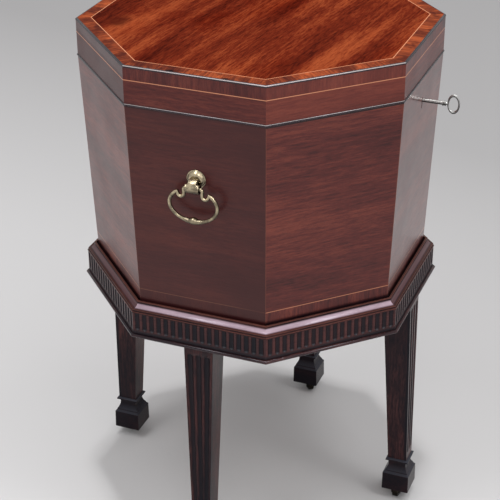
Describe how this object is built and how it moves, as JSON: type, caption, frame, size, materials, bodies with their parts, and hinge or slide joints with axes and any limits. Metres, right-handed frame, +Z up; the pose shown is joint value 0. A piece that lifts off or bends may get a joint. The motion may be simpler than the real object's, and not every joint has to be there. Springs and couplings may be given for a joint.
{
  "type": "cellarette",
  "caption": "Octagonal tapered wine cabinet with a hinged lid, lock and side bail handles, set in a fluted stand on square tapered legs with spade feet and castors.",
  "frame": {"origin": "on the floor, in the middle under the octagonal case", "axes": "+Z up; -Y is the front with the lock and key; +Y is the hinge side; the carrying handles are on -X and +X"},
  "size_m": [0.4888, 0.5233, 0.7345],
  "materials": {
    "mahogany_case": "dark red-brown French-polished mahogany veneer, glossy",
    "mahogany_lid": "figured orange-brown mahogany veneer with crossbanding, glossy",
    "mahogany_stand": "dark waxed mahogany, worn on the edges",
    "mahogany_moulding": "lighter polished mahogany",
    "ebony": "ebonised wood, worn gloss",
    "pine": "bare aged pine",
    "divider_wood": "plain unpolished wood",
    "lead": "dull grey sheet lead",
    "handle_brass": "aged brass, rubbed bright on high spots",
    "hinge_brass": "dull brass",
    "castor_brass": "darkened brass",
    "steel": "polished steel with light tarnish"
  },
  "bodies": {
    "stand": {"stand_rail_front": "mahogany_stand", "stand_rail_front_right": "mahogany_stand", "stand_rail_right": "mahogany_stand", "stand_rail_back_right": "mahogany_stand", "stand_rail_back": "mahogany_stand", "stand_rail_back_left": "mahogany_stand", "stand_rail_left": "mahogany_stand", "stand_rail_front_left": "mahogany_stand", "leg_front": "mahogany_stand", "spade_foot_front": "mahogany_stand", "leg_right": "mahogany_stand", "spade_foot_right": "mahogany_stand", "leg_back": "mahogany_stand", "spade_foot_back": "mahogany_stand", "leg_left": "mahogany_stand", "spade_foot_left": "mahogany_stand", "stand_top_moulding": "mahogany_moulding", "stand_bottom_bead": "mahogany_moulding", "stand_glue_blocks": "pine", "castor_plates": "castor_brass"},
    "castor_front": {"castor_horn_front": "castor_brass"},
    "wheel_front": {"castor_wheel_front": "castor_brass"},
    "castor_right": {"castor_horn_right": "castor_brass"},
    "wheel_right": {"castor_wheel_right": "castor_brass"},
    "castor_back": {"castor_horn_back": "castor_brass"},
    "wheel_back": {"castor_wheel_back": "castor_brass"},
    "castor_left": {"castor_horn_left": "castor_brass"},
    "wheel_left": {"castor_wheel_left": "castor_brass"},
    "case": {"case_board_front": "mahogany_case", "case_board_front_right": "mahogany_case", "case_board_right": "mahogany_case", "case_board_back_right": "mahogany_case", "case_board_back": "mahogany_case", "case_board_back_left": "mahogany_case", "case_board_left": "mahogany_case", "case_board_front_left": "mahogany_case", "case_bottom": "pine", "lead_liner": "lead", "bottle_dividers_lengthwise": "divider_wood", "bottle_dividers_crosswise": "divider_wood", "case_hinge_leaves": "hinge_brass", "hinge_pins": "steel", "lock_case": "steel", "handle_rosettes": "handle_brass", "handle_nuts": "handle_brass", "handle_posts": "handle_brass"},
    "lid": {"lid_board": "mahogany_lid", "lid_walls": "mahogany_case", "lid_lip_bead": "ebony", "lid_edge_bead": "ebony", "lid_hinge_leaves": "hinge_brass", "lock_link_plate": "hinge_brass"},
    "key": {"key": "steel"},
    "lock_bolt": {"lock_bolt": "steel"},
    "bail_left": {"bail_left": "handle_brass"},
    "bail_right": {"bail_right": "handle_brass"}
  },
  "joints": [
    {"name": "case_lift", "type": "slide", "parent": "stand", "child": "case", "axis": [0, 0, 1], "range_m": [0, 0.1]},
    {"name": "lid_hinge", "type": "hinge", "parent": "case", "child": "lid", "pos_m": [0, 0.233, 0.6805], "axis": [-1, 0, 0], "range_deg": [0, 100]},
    {"name": "key_turn", "type": "hinge", "parent": "case", "child": "key", "pos_m": [0, -0.2198, 0.6467], "axis": [0, 1, 0], "range_deg": [0, 360]},
    {"name": "lock_bolt_slide", "type": "slide", "parent": "case", "child": "lock_bolt", "axis": [1, 0, 0], "range_m": [0, 0.007]},
    {"name": "bail_left_swing", "type": "hinge", "parent": "case", "child": "bail_left", "pos_m": [-0.23797, 0, 0.58551], "axis": [0, 1, 0], "range_deg": [-10, 150]},
    {"name": "bail_right_swing", "type": "hinge", "parent": "case", "child": "bail_right", "pos_m": [0.23797, 0, 0.58551], "axis": [0, -1, 0], "range_deg": [-10, 150]},
    {"name": "castor_swivel_front", "type": "hinge", "parent": "stand", "child": "castor_front", "pos_m": [0, -0.22384, 0.026], "axis": [0, 0, 1], "continuous": true},
    {"name": "castor_roll_front", "type": "hinge", "parent": "castor_front", "child": "wheel_front", "pos_m": [-0.01, -0.22384, 0.00775], "axis": [0, -1, 0], "continuous": true},
    {"name": "castor_swivel_right", "type": "hinge", "parent": "stand", "child": "castor_right", "pos_m": [0.22384, 0, 0.026], "axis": [0, 0, 1], "continuous": true},
    {"name": "castor_roll_right", "type": "hinge", "parent": "castor_right", "child": "wheel_right", "pos_m": [0.21565, -0.00574, 0.00775], "axis": [0.5736, -0.8192, 0], "continuous": true},
    {"name": "castor_swivel_back", "type": "hinge", "parent": "stand", "child": "castor_back", "pos_m": [0, 0.22384, 0.026], "axis": [0, 0, 1], "continuous": true},
    {"name": "castor_roll_back", "type": "hinge", "parent": "castor_back", "child": "wheel_back", "pos_m": [0.00866, 0.22884, 0.00775], "axis": [-0.5, 0.866, 0], "continuous": true},
    {"name": "castor_swivel_left", "type": "hinge", "parent": "stand", "child": "castor_left", "pos_m": [-0.22384, 0, 0.026], "axis": [0, 0, 1], "continuous": true},
    {"name": "castor_roll_left", "type": "hinge", "parent": "castor_left", "child": "wheel_left", "pos_m": [-0.23324, 0.00342, 0.00775], "axis": [-0.342, -0.9397, 0], "continuous": true}
  ],
  "couplings": [
    {"joint": "key_turn", "follows": "lock_bolt_slide", "rad_per_m": 895}
  ]
}
